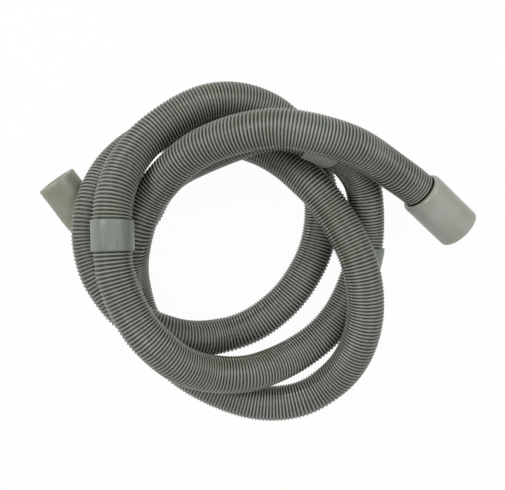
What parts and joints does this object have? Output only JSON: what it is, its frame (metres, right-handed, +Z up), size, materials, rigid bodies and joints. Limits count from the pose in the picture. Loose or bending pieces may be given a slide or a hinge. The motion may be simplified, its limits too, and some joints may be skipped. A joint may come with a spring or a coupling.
{
  "type": "washing machine drain hose",
  "caption": "Ribbed grey plastic drain hose with smooth moulded bands and a smooth sleeve on each end, laid down in a loose coil.",
  "frame": {"origin": "middle of the coil's outline, on the floor it lies on", "axes": "+X to the right and +Y away from the viewer's feet in the picture, which looks straight down; +Z up from the floor"},
  "size_m": [0.2999, 0.2352, 0.0893],
  "materials": {
    "hose_plastic": "semi-matt grey ribbed polypropylene",
    "large_sleeve": "smooth semi-matt soft plastic",
    "small_sleeve": "smooth semi-matt soft plastic, slightly warmer grey"
  },
  "bodies": {
    "root": {"corrugated_hose": "hose_plastic", "large_end_sleeve": "large_sleeve", "small_end_sleeve": "small_sleeve"}
  },
  "joints": []
}
